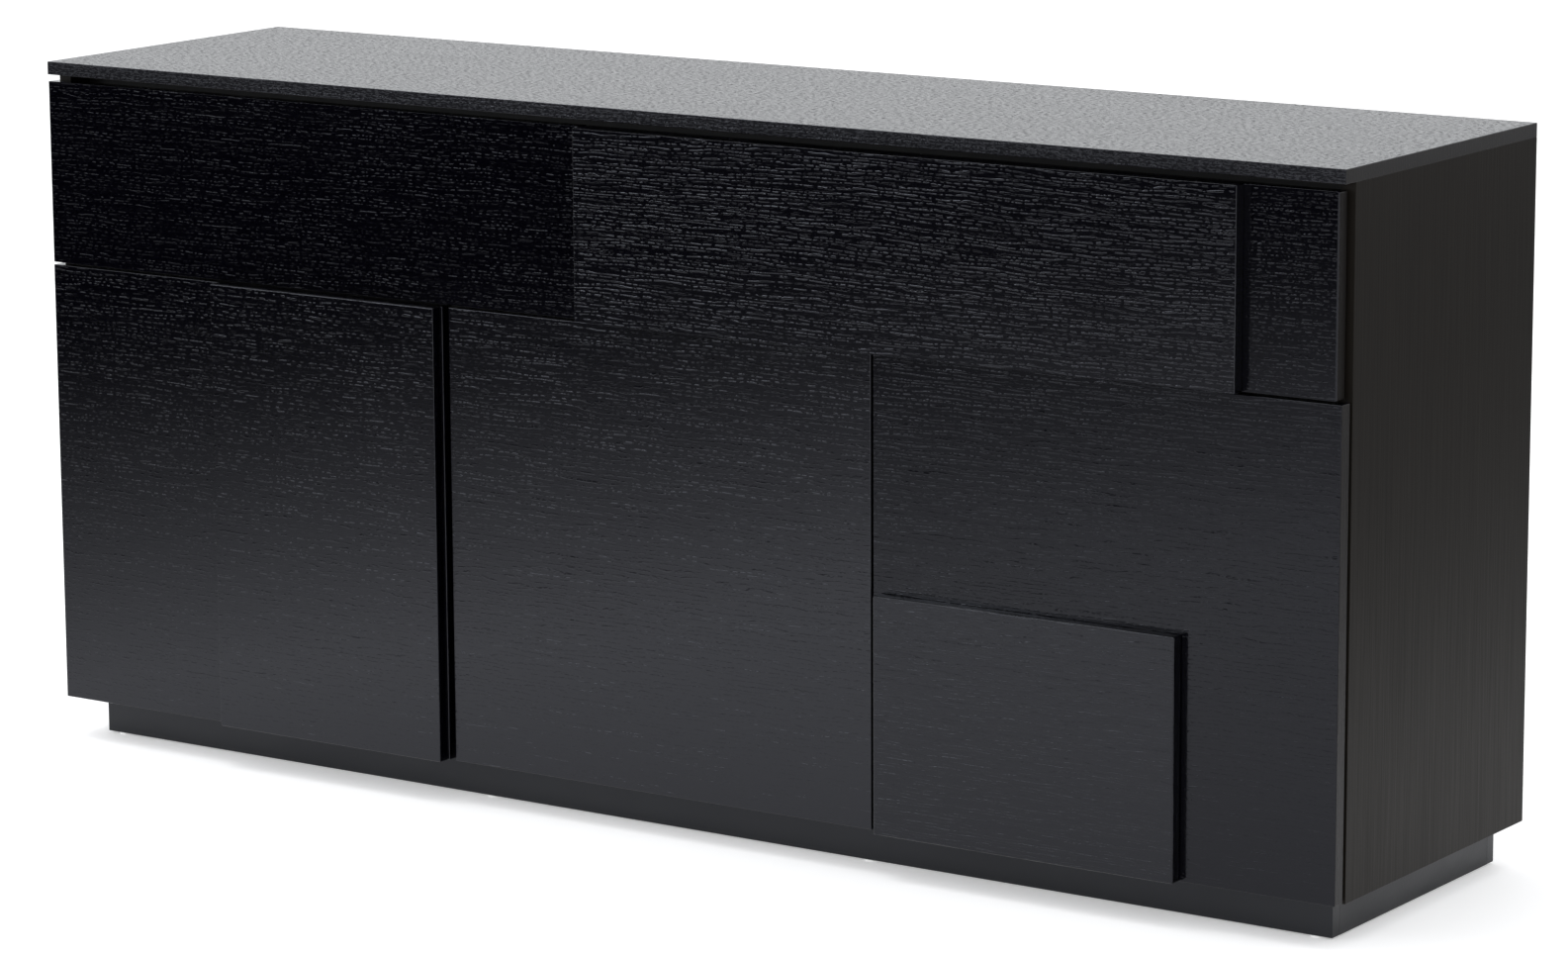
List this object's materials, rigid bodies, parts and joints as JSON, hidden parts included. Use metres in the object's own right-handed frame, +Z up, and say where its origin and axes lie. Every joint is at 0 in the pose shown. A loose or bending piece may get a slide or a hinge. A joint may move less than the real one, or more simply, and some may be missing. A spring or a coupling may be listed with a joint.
{
  "type": "sideboard with drawers and doors",
  "caption": "Low black wood-veneer sideboard with handle-free drawers over hinged doors, raised front boards and a set-back plinth.",
  "frame": {"origin": "centre of the underside, on the floor", "axes": "+X to the right seen from the front, +Y to the back, +Z up; the doors and drawers face -Y"},
  "size_m": [1.8, 0.46, 0.85],
  "materials": {
    "black_veneer": "black-stained open-pore oak veneer, satin lacquer",
    "black_board": "black laminated chipboard, matte",
    "back_board": "dark lacquered hardboard",
    "plinth_lacquer": "smooth matte black lacquer",
    "raw_wood": "plain beech",
    "drawer_board": "dark grey foil on board, matte",
    "zinc_steel": "zinc-plated",
    "white_nylon": "white nylon",
    "soft_bumper": "clear soft plastic"
  },
  "bodies": {
    "carcass": {"top_slab": "black_veneer", "side_panel_left": "black_veneer", "side_panel_right": "black_veneer", "inner_top_panel": "black_board", "bottom_panel": "black_board", "drawer_deck": "black_board", "partition_left": "black_board", "partition_right": "black_board", "drawer_divider": "black_board", "back_panel_upper": "back_board", "back_panel_left": "back_board", "back_panel_middle": "back_board", "back_panel_right": "back_board", "back_screws": "zinc_steel", "carcass_dowels": "raw_wood", "shelf_left": "black_board", "shelf_middle": "black_board", "shelf_right": "black_board", "shelf_pins": "zinc_steel", "plinth_front": "plinth_lacquer", "plinth_back": "plinth_lacquer", "plinth_left": "plinth_lacquer", "plinth_right": "plinth_lacquer", "plinth_braces": "plinth_lacquer", "plinth_blocks": "raw_wood", "glides": "white_nylon", "hinge_plates": "zinc_steel", "hinge_arms": "zinc_steel", "slides_outer": "zinc_steel"},
    "door_left": {"door_left_board": "black_veneer", "door_left_raised_board": "black_veneer", "hinge_cups_left": "zinc_steel", "hinge_pins_left": "zinc_steel", "bumpers_left": "soft_bumper"},
    "door_middle": {"door_middle_board": "black_veneer", "hinge_cups_middle": "zinc_steel", "hinge_pins_middle": "zinc_steel", "bumpers_middle": "soft_bumper"},
    "door_right": {"door_right_board": "black_veneer", "door_right_raised_board": "black_veneer", "hinge_cups_right": "zinc_steel", "hinge_pins_right": "zinc_steel", "bumpers_right": "soft_bumper"},
    "drawer_left": {"drawer_left_front": "black_veneer", "drawer_left_side_a": "drawer_board", "drawer_left_side_b": "drawer_board", "drawer_left_box_front": "drawer_board", "drawer_left_back": "drawer_board", "drawer_left_bottom": "drawer_board", "slides_inner_left": "zinc_steel"},
    "drawer_right": {"drawer_right_front": "black_veneer", "drawer_right_raised_board": "black_veneer", "drawer_right_side_a": "drawer_board", "drawer_right_side_b": "drawer_board", "drawer_right_box_front": "drawer_board", "drawer_right_back": "drawer_board", "drawer_right_bottom": "drawer_board", "slides_inner_right": "zinc_steel"},
    "slides_left": {"slides_middle_left": "zinc_steel"},
    "slides_right": {"slides_middle_right": "zinc_steel"}
  },
  "joints": [
    {"name": "door_left_hinge", "type": "hinge", "parent": "carcass", "child": "door_left", "pos_m": [-0.89, -0.2068, 0.3255], "axis": [0, 0, -1], "range_deg": [0, 95]},
    {"name": "door_middle_hinge", "type": "hinge", "parent": "carcass", "child": "door_middle", "pos_m": [0.296, -0.2068, 0.3255], "axis": [0, 0, 1], "range_deg": [0, 90]},
    {"name": "door_right_hinge", "type": "hinge", "parent": "carcass", "child": "door_right", "pos_m": [0.89, -0.2068, 0.3255], "axis": [0, 0, 1], "range_deg": [0, 95]},
    {"name": "drawer_left_slide", "type": "slide", "parent": "carcass", "child": "drawer_left", "axis": [0, -1, 0], "range_m": [0, 0.34]},
    {"name": "drawer_right_slide", "type": "slide", "parent": "carcass", "child": "drawer_right", "axis": [0, -1, 0], "range_m": [0, 0.34]},
    {"name": "slides_left_travel", "type": "slide", "parent": "carcass", "child": "slides_left", "axis": [0, -1, 0], "range_m": [0, 0.17]},
    {"name": "slides_right_travel", "type": "slide", "parent": "carcass", "child": "slides_right", "axis": [0, -1, 0], "range_m": [0, 0.17]}
  ],
  "couplings": [
    {"joint": "slides_left_travel", "follows": "drawer_left_slide", "ratio": 0.5},
    {"joint": "slides_right_travel", "follows": "drawer_right_slide", "ratio": 0.5}
  ]
}
